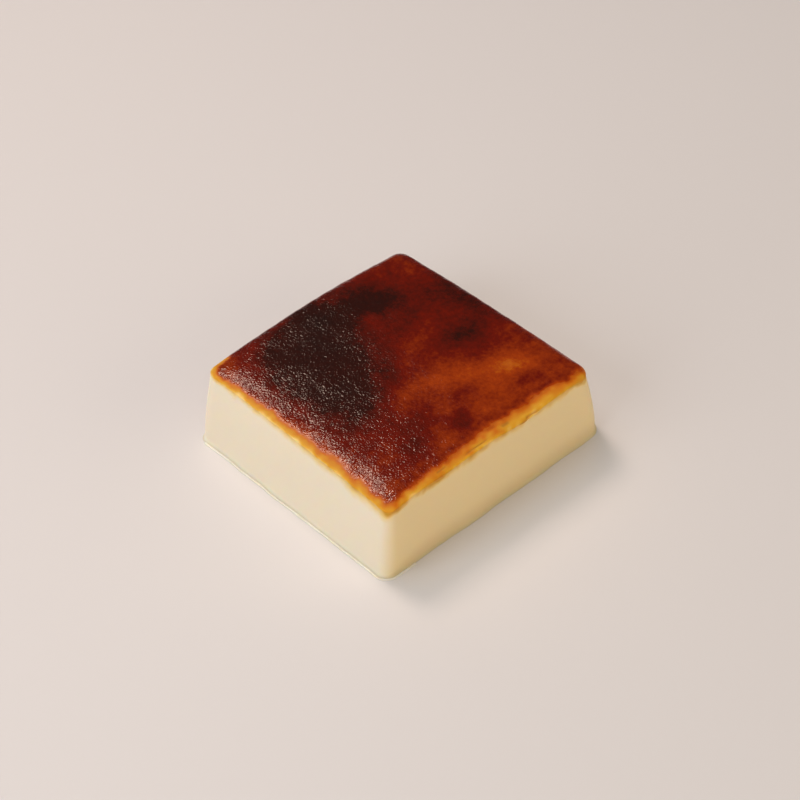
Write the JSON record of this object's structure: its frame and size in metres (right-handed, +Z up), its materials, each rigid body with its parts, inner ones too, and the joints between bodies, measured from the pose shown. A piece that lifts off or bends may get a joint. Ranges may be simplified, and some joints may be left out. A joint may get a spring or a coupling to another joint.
{
  "type": "kazandibi",
  "caption": "Square-cut block of kazandibi: a smooth ivory milk pudding under a domed, scorched caramel-brown skin.",
  "frame": {"origin": "middle of the block's box, on the surface that it lies on", "axes": "+Z up; +X and +Y along the sides, so that the corner at -X -Y is the one nearest in the usual view"},
  "size_m": [0.0886, 0.0822, 0.0279],
  "materials": {
    "milk_pudding": "moist ivory milk pudding, with a glossy scorched skin on top"
  },
  "bodies": {
    "root": {"kazandibi": "milk_pudding"}
  },
  "joints": []
}
